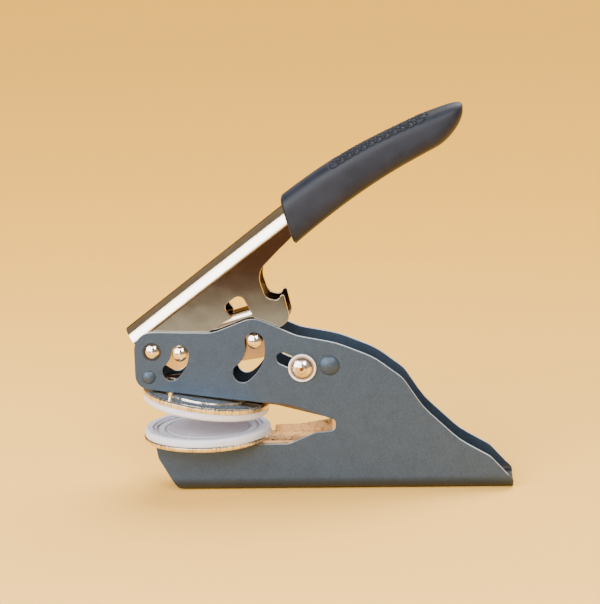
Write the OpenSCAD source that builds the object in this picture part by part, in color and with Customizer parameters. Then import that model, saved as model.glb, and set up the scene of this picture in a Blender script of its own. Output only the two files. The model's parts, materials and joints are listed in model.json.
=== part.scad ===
// Hand-held seal embosser with a folded steel body, a plated channel lever,
// a cam link, a hinged die clip, a sliding storage lock and a rubber grip.
// The origin lies on the base, straight below the axis of the closed dies.
// +X runs to the tail, +Z up, and the body is mirror-symmetric about Y = 0.

/* [Body] */
// Overall width of the folded steel body
body_w = 17.5; // [15.5:0.5:22]
// Sheet thickness of the body
body_t = 1.5; // [1.2:0.1:1.8]
// Outer radius of the two long bends along the base
body_bend = 4.5; // [3:0.25:5.5]
// Height of the level top edge above the base
body_top = 56; // [54:0.5:60]
// Rise of the crown over the curved guide slot
crown_h = 3; // [2:0.25:4]
// Distance from the die axis forward to the front edge
front_reach = 22.95; // [21:0.25:27]
// Distance from the die axis back to the tail
tail_reach = 104.2; // [86:0.2:126]
// Height of the top edge of the lower jaw
jaw_z = 16.4; // [13.5:0.1:17.5]

/* [Dies] */
// Outer diameter of the two die holders
holder_d = 44; // [36:0.5:53]
// Wall height of the lower die holder
lower_holder_h = 1.7; // [1.2:0.1:2.2]
// Wall height of the upper die holder
upper_holder_h = 2; // [1.5:0.1:2.4]
// Sheet thickness of both die holders
holder_t = 0.8; // [0.6:0.1:1]
// Height of a plastic die above the edge of its holder
die_proud = 2.4; // [1.8:0.1:3]
// Gap left for the paper between the closed dies
paper_gap = 0.2; // [0.1:0.05:0.5]
// Number of fine ticks round the blank embossing field
tick_count = 48; // [24:4:72]

/* [Die clip] */
// Distance from the die axis back to the clip hinge
hinge_x = 46.3; // [44:0.1:48]
// Angle by which the upper half stands open at rest
open_angle = 8.5; // [7:0.25:9.5]
// Radius of the clip hinge pin
hinge_pin_r = 1.6; // [1.3:0.1:1.8]
// Sheet thickness of the lower half of the clip
arm_t = 0.8; // [0.6:0.1:1]
// Sheet thickness of the upper half of the clip
ram_t = 1.2; // [1:0.1:1.4]
// Height of the side walls behind the lower die, above the seat
arm_wall_h = 2.1; // [1.5:0.1:2.8]

/* [Lever and link] */
// Angle of the lever above the horizontal at rest
lever_rest = 37; // [35:0.5:38]
// Height of the lever's web above its pivot, square to the lever
lever_web_v = 11.4; // [10.8:0.05:12]
// Sheet thickness of the lever
lever_t = 1.2; // [1:0.1:1.4]
// Outer bend radius of the lever channel
lever_bend = 6; // [4.5:0.1:6.4]
// Distance between the lever pivot and the drive pin
crank_r = 9.4; // [9:0.1:9.8]
// Distance between the drive pin and the guide pin
link_len = 25.8; // [25:0.1:26.6]
// Sheet thickness of the cam link
link_t = 1.2; // [1:0.1:1.4]
// Radius of the domed pin heads in the body's side plates
head_r = 2.55; // [2.2:0.05:2.7]
// Radius of the pin shanks between the plates
shank_r = 1.8; // [1.5:0.05:2]

/* [Lock and rivets] */
// Shank radius of the lock pin where it runs in its slots
lock_r = 2.15; // [1.9:0.05:2.4]
// Radius of the washers of the lock pin
lock_washer_r = 4.7; // [4:0.1:5.2]
// Length of the lock slots between their end centres
lock_slot_len = 7.3; // [6.8:0.1:7.8]
// Head radius of the large painted rivet
rear_head_r = 3.4; // [3:0.1:3.8]
// Head radius of the small painted rivet
front_head_r = 2.3; // [2:0.1:2.6]

/* [Grip] */
// Width of the rubber grip at its widest
grip_w = 18; // [17:0.5:22]
// Length of the steel lever inside the grip
tang_len = 48; // [40:1:52]

/* [Spring] */
// Wire diameter of the return spring
wire_d = 1; // [0.8:0.05:1.1]
// Number of whole turns of the return spring
spring_turns = 4; // [3:1:5]

/* [Hidden] */
$fn = 72;

// Clearances and small repeated sizes
side_gap = 0.3;      // between neighbouring moving sheets
run_gap = 0.05;      // radial clearance of a running fit
fit_gap = 0.02;      // radial clearance of a fixed fit
dome_h = 0.9;        // height of a domed pin head
through = body_w + 20;
seam = 0.01;         // by which the sides of a slot are narrower than its ends

// Half-widths of the nested layers, from the body inwards
body_in = body_w / 2 - body_t;
lever_out = body_in - side_gap;
lever_in = lever_out - lever_t;
lever_corner = min(lever_bend, lever_out - 0.5);
link_out = lever_in - side_gap;
link_in = link_out - link_t;
arm_out = body_in - fit_gap * 5;
ram_out = arm_out - arm_t - side_gap;
ram_in = ram_out - ram_t;

// Pins and rivets, as [x, z] in the side view
pivot = [-16.87, body_top - 6.95];
crank_rest = -5.4;
drive = pivot + crank_r * [cos(crank_rest), sin(crank_rest)];
link_rest = 8.95;
guide = drive + link_len * [cos(link_rest), sin(link_rest)];
lock_rest = [33.9, body_top - 12.95];
lock_dir = 154.8;
rear_rivet = [43.1, body_top - 12.4];
front_rivet = [-18.3, body_top - 15.6];
rear_shank_r = 2;
front_shank_r = 1.4;
rear_sleeve_r = 3;
front_sleeve_r = 2.3;

// Holes and slots in the body's side plates
pivot_hole_r = head_r + 0.65;
drive_slot_r = head_r + 0.55;
drive_slot_end = -49;
guide_slot_r = head_r + 0.8;
guide_slot_bow = 10.4;
guide_slot_centre = guide - [10.25, 2.3];
guide_slot_start = 11.6;
guide_slot_end = -56;

// Stack of the closed dies, from the lower seat upwards
seat_z = jaw_z + 0.9;
bed_t = 1.5;
holder_r = holder_d / 2;
die_r = holder_r - 0.4;
lower_edge_z = seat_z + lower_holder_h;
lower_face_z = lower_edge_z + die_proud;
upper_face_z = lower_face_z + paper_gap;
upper_edge_z = upper_face_z + die_proud;
boss_h = 0.3;
boss_r = 15.5;
upper_top_z = upper_edge_z + upper_holder_h;
ram_z = upper_top_z + boss_h;
ram_floor_z = ram_z + ram_t;
hinge_z = upper_edge_z + 3.4;
hinge = [hinge_x, hinge_z];
ear_r = hinge_pin_r + 1.6;
throat_x = hinge_x - 1.7;
ram_wall_z = ram_floor_z + 2.3;

// Press pin on the link and the saddle that it pushes
press_at = [9.6, -9];
press_r = 2.4;
press_end_r = 1.5;
press_rest = drive + turned(press_at, link_rest);
press_closed = closed_point(press_rest);
saddle_gap = 0.5;
saddle_top_z = press_closed.y - press_r - saddle_gap;
saddle_t = 1.1;
stud_x = 13;
stud_r = 1.3;
stud_head_r = 2.4;

// Lever handle: the channel runs straight, then on an arc inside the grip
handle_start = 66;
handle_bow = 190;
handle_depth = 7.8;
grip_gap = 0.1;      // between the steel and the rubber that is moulded over it

// ---- Geometry helpers ----

function unit(v) = v / norm(v);
function turned(p, a) = [p.x * cos(a) - p.y * sin(a), p.x * sin(a) + p.y * cos(a)];
function closed_point(p) = hinge + turned(p - hinge, open_angle);

// Arc that rounds the corner b between a and c with radius r
function fillet(a, b, c, r) =
    let (q = [b.x, b.y], u = unit([a.x, a.y] - q), w = unit([c.x, c.y] - q),
        half = acos(max(-1, min(1, u * w))) / 2,
        centre = q + unit(u + w) * r / sin(half),
        s = q + u * r / tan(half) - centre,
        e = q + w * r / tan(half) - centre,
        a0 = atan2(s.y, s.x),
        sweep = (atan2(e.y, e.x) - a0 + 540) % 360 - 180,
        n = max(2, ceil(abs(sweep) / 7)))
    [for (i = [0:n]) centre + r * [cos(a0 + sweep * i / n), sin(a0 + sweep * i / n)]];

// Outline through corners [x, y, radius]; a radius of 0 keeps the corner sharp
function rounded(p) =
    [for (i = [0:len(p) - 1]) let (m = len(p))
        each (p[i][2] == 0 ? [[p[i].x, p[i].y]]
            : fillet(p[(i + m - 1) % m], p[i], p[(i + 1) % m], p[i][2]))];

function bezier(p, t) =
    pow(1 - t, 3) * p[0] + 3 * t * pow(1 - t, 2) * p[1]
    + 3 * t * t * (1 - t) * p[2] + pow(t, 3) * p[3];

// Stands a side-view outline up, with the given width across Y
module side(width, y = 0)
    translate([0, y, 0]) rotate([90, 0, 0])
        linear_extrude(height = width, center = true) children();

// Moves its children to a point of the side view
module at(p) translate([p.x, 0, p.y]) children();

// Round bar across the width
module bar(r, y0, y1)
    translate([0, y1, 0]) rotate([90, 0, 0]) cylinder(r = r, h = y1 - y0);

// Both mirror images of its children
module both_sides() {
    children();
    mirror([0, 1, 0]) children();
}

// Spherical cap of height h on a circle of radius r, pointing along +Z
module dome(r, h) {
    big = (r * r + h * h) / (2 * h);
    intersection() {
        translate([0, 0, h - big]) sphere(r = big);
        cylinder(r = r, h = h);
    }
}

// Domed head on the +Y side, from y0 out to the crown of its dome at y1
module head(r, y0, y1, h = dome_h) {
    bar(r, y0, y1 - h);
    translate([0, y1 - h, 0]) rotate([-90, 0, 0]) dome(r, h);
}

// Cross-section of an open channel with its web at the bottom
module channel_solid(w, h, r)
    intersection() {
        union() {
            translate([-w / 2 + r, r]) circle(r = r);
            translate([w / 2 - r, r]) circle(r = r);
            translate([-w / 2 + r, 0]) square([w - 2 * r, h]);
            translate([-w / 2, r]) square([w, h]);
        }
        translate([-w / 2, 0]) square([w, h]);
    }

module channel_section(w, h, t, r)
    difference() {
        channel_solid(w, h, r);
        translate([0, t]) channel_solid(w - 2 * t, h, r - t);
    }

// Runs a cross-section along X; its first axis lies on Y, its second on Z
module along_x(x0, x1)
    translate([x0, 0, 0]) rotate([90, 0, 90]) linear_extrude(height = x1 - x0) children();

// Straight slot through both plates, from the origin towards angle a
module slot_cut(r, len, a)
    rotate([0, -a, 0]) {
        bar(r, -through / 2, through / 2);
        translate([len, 0, 0]) bar(r, -through / 2, through / 2);
        translate([0, -through / 2, seam - r]) cube([len, through, 2 * (r - seam)]);
    }

// Slot through both plates along an arc round the origin
module arc_slot_cut(bow, r, a0, a1) {
    rotate([0, -a1, 0]) rotate([90, 0, 0]) translate([0, 0, -through / 2])
        rotate_extrude(angle = a0 - a1)
            translate([bow - r + seam, 0]) square([2 * (r - seam), through]);
    for (a = [a0, a1])
        rotate([0, -a, 0]) translate([bow, 0, 0]) bar(r, -through / 2, through / 2);
}

// ---- Body ----

// Sweep of the back, as fractions of its length and height, with corner radii
BACK = [[0.213, 0.9, 25], [0.3765, 0.758, 10], [0.489, 0.5595, 25], [0.693, 0.337, 25],
    [0.8705, 0.22, 6]];
shoulder = [45.5, body_top - 4.7];

function body_outline() = rounded(concat(
    [[-9.6, 0, 2], [-16.3, jaw_z - 4.5, 4], [-17.1, jaw_z, 0.7],
     [throat_x - 16, jaw_z, 6], [throat_x - 7, jaw_z + 3.8, 6],
     [throat_x, jaw_z + 4.5, 1.9], [throat_x, jaw_z + 8.35, 1.4],
     [throat_x - 15.6, jaw_z + 13.9, 20], [8, jaw_z + 16.15, 50],
     [-front_reach, jaw_z + 20.35, 4.8], [-front_reach, body_top, 6.2],
     [4, body_top - 0.8, 14], [17.8, body_top + crown_h * 1.5, 9],
     [32.3, body_top - 2.1, 14], [shoulder.x, shoulder.y, 30]],
    [for (b = BACK) [shoulder.x + b.x * (tail_reach - shoulder.x), b.y * shoulder.y, b[2]]],
    [[tail_reach, 2.9, 1], [tail_reach, 0, 0.6]]));

module frame_channel()
    color("slategray") difference() {
        intersection() {
            along_x(-front_reach - 1, tail_reach + 1)
                channel_section(body_w, body_top + 2 * crown_h, body_t, body_bend);
            side(through) polygon(body_outline());
        }
        at(pivot) bar(pivot_hole_r, -through / 2, through / 2);
        at(pivot) arc_slot_cut(crank_r, drive_slot_r, crank_rest, drive_slot_end);
        at(guide_slot_centre)
            arc_slot_cut(guide_slot_bow, guide_slot_r, guide_slot_start, guide_slot_end);
        at(lock_rest) slot_cut(lock_r + run_gap, lock_slot_len, lock_dir);
        at(rear_rivet) bar(rear_shank_r + fit_gap, -through / 2, through / 2);
        at(front_rivet) bar(front_shank_r + fit_gap, -through / 2, through / 2);
    }

// Nylon bushes pressed into the two pivot holes
module pivot_bushes()
    color("dimgray") both_sides() at(pivot) difference() {
        bar(pivot_hole_r - fit_gap, body_in, body_w / 2 - 0.2);
        bar(head_r + run_gap, 0, through / 2);
    }

module spacer_rivet(shank, r, h) {
    bar(shank, -body_w / 2, body_w / 2);
    both_sides() head(r, body_w / 2, body_w / 2 + h, h);
}

module spacer_sleeve(shank, r)
    difference() {
        bar(r, -body_in, body_in);
        bar(shank + fit_gap, -through / 2, through / 2);
    }

module front_spacer_rivet()
    color("slategray") at(front_rivet) spacer_rivet(front_shank_r, front_head_r, 0.8);

module front_spacer_sleeve()
    color("silver") at(front_rivet) spacer_sleeve(front_shank_r, front_sleeve_r);

module rear_spacer_rivet()
    color("slategray") at(rear_rivet) spacer_rivet(rear_shank_r, rear_head_r, 1.2);

module rear_spacer_sleeve()
    color("silver") at(rear_rivet) spacer_sleeve(rear_shank_r, rear_sleeve_r);

// ---- Lower die seat and the fixed half of the clip ----

// Holes for the rivets of the two die holders
module stud_holes(gap)
    for (x = [-stud_x, stud_x]) translate([x, 0, 0]) cylinder(r = stud_r + gap, h = body_top);

bed_top_z = seat_z - arm_t;
bed_front = -16.5;
bed_rear = 24;
bed_leg_z = body_bend + 1.5;

// Folded saddle welded between the plates; it backs the lower die
module die_bed()
    color("silver") difference() {
        intersection() {
            along_x(bed_front, bed_rear) translate([0, bed_top_z]) mirror([0, 1])
                channel_section(2 * body_in, bed_top_z - bed_leg_z, bed_t, bed_t + 0.6);
            side(through) polygon([[bed_front, bed_top_z], [bed_rear, bed_top_z],
                [bed_rear - 6, bed_leg_z], [bed_front + 4.5, bed_leg_z]]);
        }
        stud_holes(fit_gap);
    }

arm_front = -15.5;
arm_rear = hinge_x + 4.5;
arm_wall_x = max(holder_r + 0.7, 22.7);
near_wall_x = throat_x - 1.2;

function arm_wall_outline() = rounded([
    [arm_wall_x, seat_z - arm_t / 2, 0], [arm_wall_x, seat_z + arm_wall_h, 0.8],
    [throat_x - 13, seat_z + arm_wall_h, 12], [throat_x - 2.6, seat_z + arm_wall_h + 1.9, 2],
    [hinge_x - ear_r + 0.2, hinge_z, 0], [hinge_x + ear_r, hinge_z, 0],
    [arm_rear, seat_z + 1, 1.5], [arm_rear, seat_z - arm_t / 2, 0]]);

// Plated strip under the lower die. Its wall on one side rises along the throat to the
// hinge, and on the open side only the ear stands up.
module lower_clip_arm()
    color("gainsboro") difference() {
        union() {
            translate([arm_front, -arm_out, bed_top_z])
                cube([arm_rear - arm_front, 2 * arm_out, arm_t]);
            side(arm_t, arm_out - arm_t / 2) polygon(arm_wall_outline());
            intersection() {
                side(arm_t, arm_t / 2 - arm_out) polygon(arm_wall_outline());
                translate([near_wall_x, -arm_out, 0]) cube([body_top, body_w, body_top]);
            }
            both_sides() at(hinge) bar(ear_r, arm_out - arm_t, arm_out);
        }
        at(hinge) bar(hinge_pin_r + fit_gap, -through / 2, through / 2);
        stud_holes(fit_gap);
    }

module clip_hinge_pin()
    color("silver") at(hinge) bar(hinge_pin_r, -arm_out, arm_out);

// Rivet through the sheets, with a flat head below or above
module lower_holder_rivets()
    color("silver") for (x = [-stud_x, stud_x]) translate([x, 0, 0]) {
        translate([0, 0, bed_top_z - bed_t - 0.8]) cylinder(r = stud_head_r, h = 0.8);
        translate([0, 0, bed_top_z - bed_t])
            cylinder(r = stud_r, h = seat_z + holder_t - bed_top_z + bed_t);
    }

// Profile of a shallow pan, floor at 0 and wall up to h, with a rolled outer edge
module pan_profile(h) {
    difference() {
        square([holder_r, h]);
        translate([-1, holder_t]) square([holder_r - 1.2 + 1, h]);
        translate([holder_r, 0]) rotate(45) square(0.7, center = true);
        translate([holder_r, h]) rotate(45) square(0.5, center = true);
    }
}

module lower_die_holder()
    color("gainsboro") difference() {
        translate([0, 0, seat_z]) rotate_extrude() pan_profile(lower_holder_h);
        stud_holes(fit_gap);
    }

// Half-profile of a die: spigot in the pan, flange over its edge, rim and inner rings.
// It stands on 0, meets the pan's edge at edge_h and reaches its face at edge_h + die_proud.
field_r = 13.5;
module die_profile(edge_h, rim) {
    base = holder_t + fit_gap;
    top = edge_h + die_proud;
    difference() {
        union() {
            translate([0, base]) square([holder_r - 1.3, edge_h + 0.4 - base]);
            translate([0, edge_h + fit_gap]) square([die_r, die_proud - fit_gap]);
        }
        translate([die_r, top]) rotate(45) square(0.9, center = true);
        translate([-1, top - rim]) square([die_r - 2.6 + 1, rim + 1]);
        translate([die_r - 4.6, top - rim - 0.35]) square([0.8, 1]);
        translate([field_r + 0.4, top - rim - 0.35]) square([0.8, 1]);
    }
    translate([die_r - 4, top - rim - 0.1]) square([0.9, rim * 0.6]);
}

// Fine radial ticks on the ring between the field and the rim
module tick_ring(z, h)
    for (i = [0:tick_count - 1])
        rotate([0, 0, i * 360 / tick_count])
            translate([field_r + 1.7, -0.18, z]) cube([1.5, 0.36, h]);

module lower_die()
    color("ghostwhite") difference() {
        union() {
            translate([0, 0, seat_z]) rotate_extrude() die_profile(lower_holder_h, 0.8);
            tick_ring(lower_face_z - 0.9, 0.35);
        }
        for (x = [-stud_x, stud_x])
            translate([x, 0, seat_z]) cylinder(r = stud_r + side_gap, h = holder_t + 0.5);
    }

// ---- Moving half of the clip, drawn closed and swung open for the rest pose ----

module opened() at(hinge) rotate([0, open_angle, 0]) at(-hinge) children();

ram_front = -16.4;
ram_floor_rear = 36;

function ram_outline() = rounded([
    [ram_front, ram_z, 0], [ram_front, ram_floor_z + 0.8, 1.2], [ram_front + 6, ram_wall_z, 4],
    [14, ram_wall_z, 10], [hinge_x - 5, hinge_z + ear_r - 0.3, 8], [hinge_x, hinge_z + ear_r, 0],
    [hinge_x, hinge_z - ear_r, 0], [hinge_x - 3, hinge_z - ear_r + 0.1, 2], [25, ram_z, 8]]);

module upper_clip_arm()
    color("gainsboro") opened() difference() {
        union() {
            translate([ram_front, -ram_out, ram_z])
                cube([ram_floor_rear - ram_front, 2 * ram_out, ram_t]);
            both_sides() {
                side(ram_t, ram_out - ram_t / 2) polygon(ram_outline());
                at(hinge) bar(ear_r, ram_in, ram_out);
            }
        }
        at(hinge) bar(hinge_pin_r + run_gap, -through / 2, through / 2);
        stud_holes(fit_gap);
    }

saddle_half_w = min(ram_in, link_in) - side_gap * 2;

function saddle_outline() = rounded([
    [-stud_x - 2.8, ram_floor_z, 0], [-stud_x - 2.8, ram_floor_z + saddle_t, 0.6],
    [-7, ram_floor_z + saddle_t, 1.5], [-6, saddle_top_z, 1.2],
    [8.5, saddle_top_z, 1.2], [9.5, ram_floor_z + saddle_t, 1.5],
    [stud_x + 3, ram_floor_z + saddle_t, 0.6], [stud_x + 3, ram_floor_z, 0]]);

// Hardened block that carries the press load down onto the upper die
module press_saddle()
    color("darkgray") opened() difference() {
        side(2 * saddle_half_w) polygon(saddle_outline());
        stud_holes(fit_gap);
    }

module upper_holder_rivets()
    color("silver") opened() for (x = [-stud_x, stud_x]) translate([x, 0, 0]) {
        translate([0, 0, upper_top_z - holder_t])
            cylinder(r = stud_r, h = ram_floor_z + saddle_t - upper_top_z + holder_t);
        translate([0, 0, ram_floor_z + saddle_t]) dome(stud_head_r, 0.9);
    }

module upper_die_holder()
    color("gainsboro") opened() difference() {
        union() {
            translate([0, 0, upper_top_z]) mirror([0, 0, 1])
                rotate_extrude() pan_profile(upper_holder_h);
            translate([0, 0, upper_top_z]) cylinder(r = boss_r, h = boss_h);
        }
        stud_holes(fit_gap);
        both_sides() locating_stud(stud_pin_r + fit_gap);
    }

module upper_die()
    color("ghostwhite") opened() difference() {
        union() {
            translate([0, 0, upper_top_z]) mirror([0, 0, 1])
                rotate_extrude() die_profile(upper_holder_h, 0.5);
            tick_ring(upper_face_z + 0.25, 0.4);
        }
        for (x = [-stud_x, stud_x])
            translate([x, 0, upper_top_z - holder_t - 0.5]) cylinder(r = stud_r + side_gap, h = 2);
        both_sides() translate([stud_at.x, stud_at.y, upper_top_z - holder_t - 0.5])
            cylinder(r = stud_pin_r + side_gap, h = 2);
    }

stud_pin_r = 0.9;
stud_at = [-0.245, 0.34] * holder_d;
module locating_stud(r)
    translate([stud_at.x, stud_at.y, upper_top_z - holder_t]) cylinder(r = r, h = holder_t + 2.2);

// Two short posts on the upper holder that centre it under the body
module locating_studs()
    color("silver") opened() both_sides() locating_stud(stud_pin_r);

// ---- Lever ----

module in_lever() at(pivot) rotate([0, -lever_rest, 0]) children();
drive_local = turned([crank_r, 0], crank_rest - lever_rest);

// Side profile of the straight part: pivot end, notch over the guide pin, and lock hook
function lever_outline() = rounded([
    [-3.4, lever_web_v + 2, 0], [-3.4, -4.5, 3], [0.4, -6, 1.5], [1.8, drive_local.y - 4.3, 3.4],
    [drive_local.x + 5, drive_local.y - 4.3, 4], [18, -6.5, 6], [28.4, -7.3, 0.9],
    [28.3, -2.75, 2.2], [36.2, -2.9, 2.3], [34.4, -12.5, 8], [34.6, -20.2, 4.5],
    [43.7, -20.2, 3.2], [47.9, -10.9, 0.7], [44.4, -12.8, 1.9], [41.7, -9.3, 2.9],
    [44.7, -0.9, 7], [56, 0.7, 12], [61, 1.2, 3], [handle_start + 0.5, 3.6, 0],
    [handle_start + 0.5, lever_web_v + 5, 0]]);

// Sweeps a section down an arc that starts at handle_start, square to the lever
module handle_sweep(len)
    translate([handle_start, 0, lever_web_v - handle_bow]) rotate([-90, -90, 0])
        rotate_extrude(angle = len / handle_bow * 180 / PI, $fn = 360) children();

// The same section turned for the sweep, with its web outwards
module sweep_section(w, h, t, r)
    translate([handle_bow, 0]) rotate(90) difference() {
        channel_solid(w, h, r);
        if (t > 0) translate([0, t]) channel_solid(w - 2 * t, h, r - t);
    }

module lever_channel()
    color("tan") in_lever() difference() {
        union() {
            intersection() {
                along_x(-6, handle_start) translate([0, lever_web_v]) mirror([0, 1])
                    channel_section(2 * lever_out, lever_web_v + 24, lever_t, lever_corner);
                side(through) polygon(lever_outline());
            }
            handle_sweep(tang_len)
                sweep_section(2 * lever_out, handle_depth, lever_t, lever_corner);
        }
        bar(shank_r + fit_gap, -through / 2, through / 2);
        at(drive_local) bar(shank_r + fit_gap, -through / 2, through / 2);
    }

// Pin with a straight shank and a larger domed head in each side plate
module headed_pin(seat_y) {
    bar(shank_r, -seat_y, seat_y);
    both_sides() head(head_r, seat_y, body_w / 2 + 0.5);
}

module lever_pivot_pin()
    color("silver") at(pivot) headed_pin(lever_out);

module drive_pin()
    color("silver") at(drive) headed_pin(lever_out);

// ---- Rubber grip, lofted between its top and bottom lines ----

GRIP_TOP = [[66.4, 14], [104, 13.6], [111.2, 6.3], [136, 4.6]];
GRIP_BOTTOM = [[60.5, -1.6], [106, 0.6], [118, -7.4], [128.5, -5.8]];
grip_rings = 26;
grip_sides = 28;
grip_round = 0.72;
function grip_swell(t) = 0.94 + 0.06 * sin(180 * min(1, t * 1.2));
function grip_end(t) =
    t < grip_round ? 1
        : pow(max(0.004, 1 - pow((t - grip_round) / (1 - grip_round), 1.3)), 0.35);

function grip_ring(i) =
    let (t = 1 - pow(1 - i / grip_rings, 1.5),
        top = bezier(GRIP_TOP, t), low = bezier(GRIP_BOTTOM, t),
        mid = (top + low) / 2, half = (top - low) / 2 * grip_end(t),
        w = grip_w / 2 * grip_swell(t) * pow(grip_end(t), 0.7))
    [for (j = [0:grip_sides - 1])
        let (a = 360 * j / grip_sides, c = cos(a), s = sin(a),
            y = w * sign(c) * pow(abs(c), 0.5), k = sign(s) * pow(abs(s), 0.55))
        [mid.x + half.x * k, y, mid.y + half.y * k]];

module grip_body() {
    points = [for (i = [0:grip_rings]) each grip_ring(i)];
    n = grip_sides;
    last = grip_rings * n;
    faces = concat(
        [for (i = [0:grip_rings - 1]) for (j = [0:n - 1]) let (k = (j + 1) % n)
            each [[i * n + j, i * n + k, (i + 1) * n + k], [i * n + j, (i + 1) * n + k,
                (i + 1) * n + j]]],
        [[for (j = [n - 1:-1:0]) j]], [[for (j = [0:n - 1]) last + j]]);
    polyhedron(points, faces);
}

module rubber_grip()
    color("darkslategray") in_lever() difference() {
        grip_body();
        intersection() {
            along_x(40, handle_start) translate([0, lever_web_v + grip_gap]) mirror([0, 1])
                channel_solid(2 * (lever_out + grip_gap), lever_web_v + 5, lever_corner);
            side(through) offset(delta = grip_gap) polygon(lever_outline());
        }
        handle_sweep(tang_len + 0.5)
            translate([grip_gap, 0])
                sweep_section(2 * (lever_out + grip_gap), handle_depth + 2 * grip_gap, 0, lever_corner);
    }

// ---- Cam link ----

module in_link() at(drive) rotate([0, -link_rest, 0]) children();
link_web_tilt = 7;
link_web_n = 7.4;
link_bend = 2.2;

function link_outline() = rounded([
    [-4.1, 14, 0], [-4.1, -4.2, 4], [3.4, -4.6, 2], [press_at.x - 4.6, press_at.y - 2.8, 3.4],
    [press_at.x + 4.4, press_at.y - 2.8, 3.4], [press_at.x + 7.5, -6.3, 3],
    [link_len + 4, -6.6, 3.6], [link_len + 4, 14, 0]]);

module cam_link()
    color("tan") in_link() difference() {
        intersection() {
            rotate([0, -link_web_tilt, 0]) along_x(-12, link_len + 8)
                translate([0, link_web_n]) mirror([0, 1])
                    channel_section(2 * link_out, 30, link_t, link_bend);
            side(through) polygon(link_outline());
        }
        bar(shank_r + run_gap, -through / 2, through / 2);
        translate([link_len, 0, 0]) bar(shank_r + fit_gap, -through / 2, through / 2);
        at(press_at) bar(press_end_r + fit_gap, -through / 2, through / 2);
    }

module guide_pin()
    color("silver") at(guide) {
        bar(shank_r, -body_in, body_in);
        both_sides() head(head_r, body_in, body_w / 2 + 0.5);
    }

module press_pin()
    color("silver") in_link() at(press_at) {
        bar(press_end_r, -link_out, link_out);
        bar(press_r, -link_in + 0.1, link_in - 0.1);
    }

// ---- Storage lock ----

lock_core_r = lock_r - 0.25;
washer_y = body_w / 2 + run_gap;
washer_t = 0.8;

module lock_pin()
    color("silver") at(lock_rest) {
        bar(lock_core_r, -body_in, body_in);
        both_sides() {
            bar(lock_r, body_in - 0.2, washer_y + washer_t);
            difference() {
                head(lock_washer_r - 1.15, washer_y + washer_t, washer_y + washer_t + 2, 1.5);
                translate([0, washer_y + washer_t + 1.6, 0]) rotate([-90, 0, 0])
                    cylinder(r = 0.7, h = 1);
            }
        }
    }

module lock_washers()
    color("whitesmoke") both_sides() at(lock_rest) difference() {
        bar(lock_washer_r, washer_y, washer_y + washer_t);
        bar(lock_r + fit_gap, 0, through);
    }

// ---- Return spring: a coil on the clip hinge, one leg under the moving arm,
// ---- the other up behind the sleeve of the large rivet ----

coil_r = hinge_pin_r + 0.35 + wire_d / 2;
coil_pitch = wire_d + 0.55;
coil_half = spring_turns * coil_pitch / 2;
leg_reach = 12.5;
leg_drop = hinge_z - ram_z + wire_d / 2 + 0.1;
leg_rise = open_angle + atan2(coil_r, leg_reach) - asin(leg_drop / norm([leg_reach, coil_r]));
to_rod = rear_rivet - hinge;
rod_r = rear_sleeve_r + wire_d / 2 + 0.1;
rod_lean = atan2(to_rod.y, to_rod.x) - 90 + asin((coil_r - rod_r) / norm(to_rod));
coil_start = -90 - leg_rise;
coil_end = rod_lean + 360 * spring_turns;
coil_steps = 16 * spring_turns + 4;
wire_sides = 8;

function coil_point(a) =
    let (f = (a - coil_start) / (coil_end - coil_start))
    [hinge.x + coil_r * cos(a), -coil_half + 2 * coil_half * f, hinge.y + coil_r * sin(a)];
function leg_point(a, d, sense) =
    let (p = coil_point(a)) [p.x - sense * d * sin(a), p.y, p.z + sense * d * cos(a)];
spring_path = concat(
    [leg_point(coil_start, leg_reach, -1), leg_point(coil_start, leg_reach / 2, -1)],
    [for (i = [0:coil_steps]) coil_point(coil_start + (coil_end - coil_start) * i / coil_steps)],
    [leg_point(coil_end, norm(to_rod) / 2, 1), leg_point(coil_end, norm(to_rod) + 2, 1)]);

function tube_points(path, r, n) =
    [for (i = [0:len(path) - 1])
        let (t = unit(path[min(i + 1, len(path) - 1)] - path[max(i - 1, 0)]),
            a = unit(cross(t, [0, 1, 0])), b = cross(a, t))
        for (j = [0:n - 1]) path[i] + r * (cos(360 * j / n) * a + sin(360 * j / n) * b)];

module tube(path, r, n) {
    rings = len(path);
    faces = concat(
        [for (i = [0:rings - 2]) for (j = [0:n - 1]) let (k = (j + 1) % n)
            each [[i * n + j, (i + 1) * n + k, i * n + k], [i * n + j, (i + 1) * n + j,
                (i + 1) * n + k]]],
        [[for (j = [0:n - 1]) j]], [[for (j = [n - 1:-1:0]) (rings - 1) * n + j]]);
    polyhedron(tube_points(path, r, n), faces);
}

// Least distance between wire surfaces a turn or more apart, on the coil's points
spring_gap = min([for (i = [0:coil_steps - 12]) for (j = [i + 12:coil_steps])
    norm(spring_path[i + 2] - spring_path[j + 2])]) - wire_d;
echo(str("least gap of the return spring to itself, mm: ", spring_gap));  // return_spring

module return_spring()
    color("dimgray") tube(spring_path, wire_d / 2, wire_sides);

// ---- Nodes ----

frame_channel();
pivot_bushes();
front_spacer_rivet();
front_spacer_sleeve();
rear_spacer_rivet();
rear_spacer_sleeve();
die_bed();
lower_clip_arm();
clip_hinge_pin();
return_spring();
lower_die_holder();
lower_die();
lower_holder_rivets();
upper_clip_arm();
press_saddle();
upper_holder_rivets();
upper_die_holder();
upper_die();
locating_studs();
lever_channel();
lever_pivot_pin();
drive_pin();
rubber_grip();
cam_link();
guide_pin();
press_pin();
lock_pin();
lock_washers();
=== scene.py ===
"""Looks of a hand-held seal embosser: finishes for its metal and plastic pieces, a modelled
rubber grip, and a plain studio.

Lengths are in metres, as in the frame. The grip's own numbers are in millimetres, and so are
arguments whose names end in _mm."""

import json
import math

import bmesh
import bpy
from bpy.props import FloatProperty, FloatVectorProperty, IntProperty, PointerProperty
from mathutils import Matrix, Quaternion, Vector


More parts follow.
